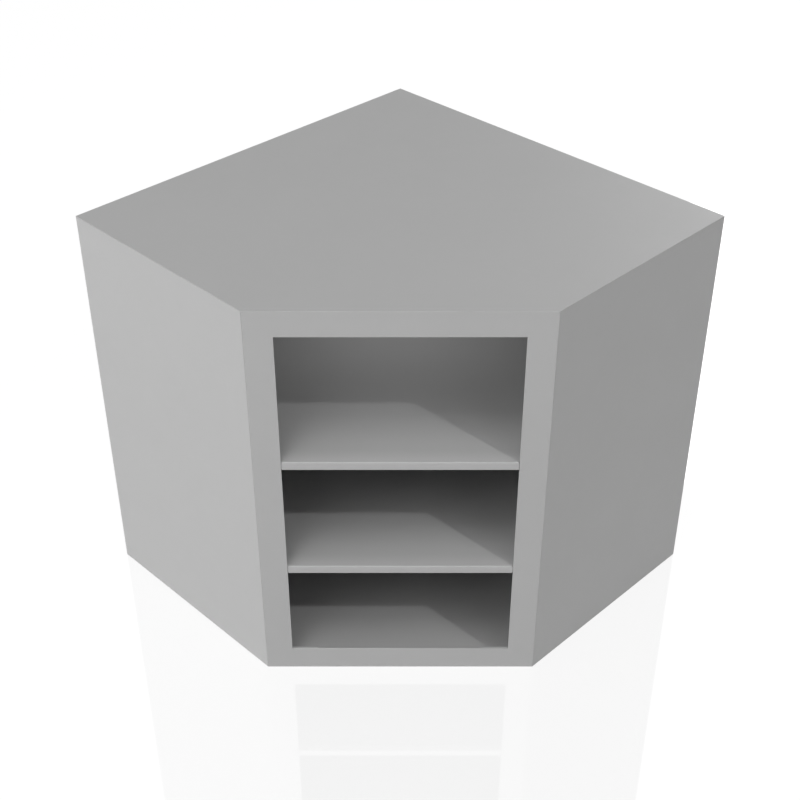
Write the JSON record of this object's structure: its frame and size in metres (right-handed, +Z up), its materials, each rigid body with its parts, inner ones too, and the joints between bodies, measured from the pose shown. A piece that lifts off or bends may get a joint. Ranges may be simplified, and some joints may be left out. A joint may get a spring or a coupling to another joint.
{
  "type": "corner wall cabinet",
  "caption": "Five-sided sheet-steel wall cabinet for a room corner, with a framed open front across the corner and lift-off shelves on clips.",
  "frame": {"origin": "middle of the bounding box on the plane of the bottom flanges", "axes": "+Z up, -Y out of the open front, +X to the viewer's right; the two backs face +X+Y and -X+Y"},
  "size_m": [0.898, 0.7004, 0.6223],
  "materials": {
    "body_paint": "mid-grey satin powder coat on folded sheet steel, with a very fine orange peel",
    "inner_paint": "thin grey powder coat on the stiffeners, rails and plates inside",
    "zinc_plate": "bright zinc plate on the slotted channels and shelf clips"
  },
  "bodies": {
    "cabinet": {"top_panel": "body_paint", "bottom_panel": "body_paint", "left_side_panel": "body_paint", "right_side_panel": "body_paint", "back_left_panel": "body_paint", "back_right_panel": "body_paint", "left_stile": "body_paint", "right_stile": "body_paint", "top_rail": "body_paint", "bottom_rail": "body_paint", "back_corner_post": "inner_paint", "left_corner_post": "inner_paint", "right_corner_post": "inner_paint", "frame_gusset_upper_left": "inner_paint", "frame_gusset_upper_right": "inner_paint", "frame_gusset_lower_left": "inner_paint", "frame_gusset_lower_right": "inner_paint", "hanging_rail_upper_left": "inner_paint", "hanging_rail_upper_right": "inner_paint", "hanging_rail_lower_left": "inner_paint", "hanging_rail_lower_right": "inner_paint", "top_stiffener_front": "inner_paint", "top_stiffener_rear": "inner_paint", "deck_stiffener_front": "inner_paint", "deck_stiffener_rear": "inner_paint", "pilaster_back_left_inner": "zinc_plate", "pilaster_back_left_outer": "zinc_plate", "pilaster_back_right_inner": "zinc_plate", "pilaster_back_right_outer": "zinc_plate", "pilaster_side_left": "zinc_plate", "pilaster_side_right": "zinc_plate", "upper_clip_back_left_inner": "zinc_plate", "upper_clip_back_left_outer": "zinc_plate", "upper_clip_back_right_inner": "zinc_plate", "upper_clip_back_right_outer": "zinc_plate", "upper_clip_side_left": "zinc_plate", "upper_clip_side_right": "zinc_plate", "lower_clip_back_left_inner": "zinc_plate", "lower_clip_back_left_outer": "zinc_plate", "lower_clip_back_right_inner": "zinc_plate", "lower_clip_back_right_outer": "zinc_plate", "lower_clip_side_left": "zinc_plate", "lower_clip_side_right": "zinc_plate"},
    "upper_shelf": {"upper_shelf": "body_paint", "upper_shelf_stiffener_front": "inner_paint", "upper_shelf_stiffener_rear": "inner_paint"},
    "lower_shelf": {"lower_shelf": "body_paint", "lower_shelf_stiffener_front": "inner_paint", "lower_shelf_stiffener_rear": "inner_paint"}
  },
  "joints": [
    {"name": "upper_shelf_lift", "type": "slide", "parent": "cabinet", "child": "upper_shelf", "axis": [0, 0, 1], "range_m": [0, 0.16]},
    {"name": "lower_shelf_lift", "type": "slide", "parent": "cabinet", "child": "lower_shelf", "axis": [0, 0, 1], "range_m": [0, 0.165]}
  ]
}
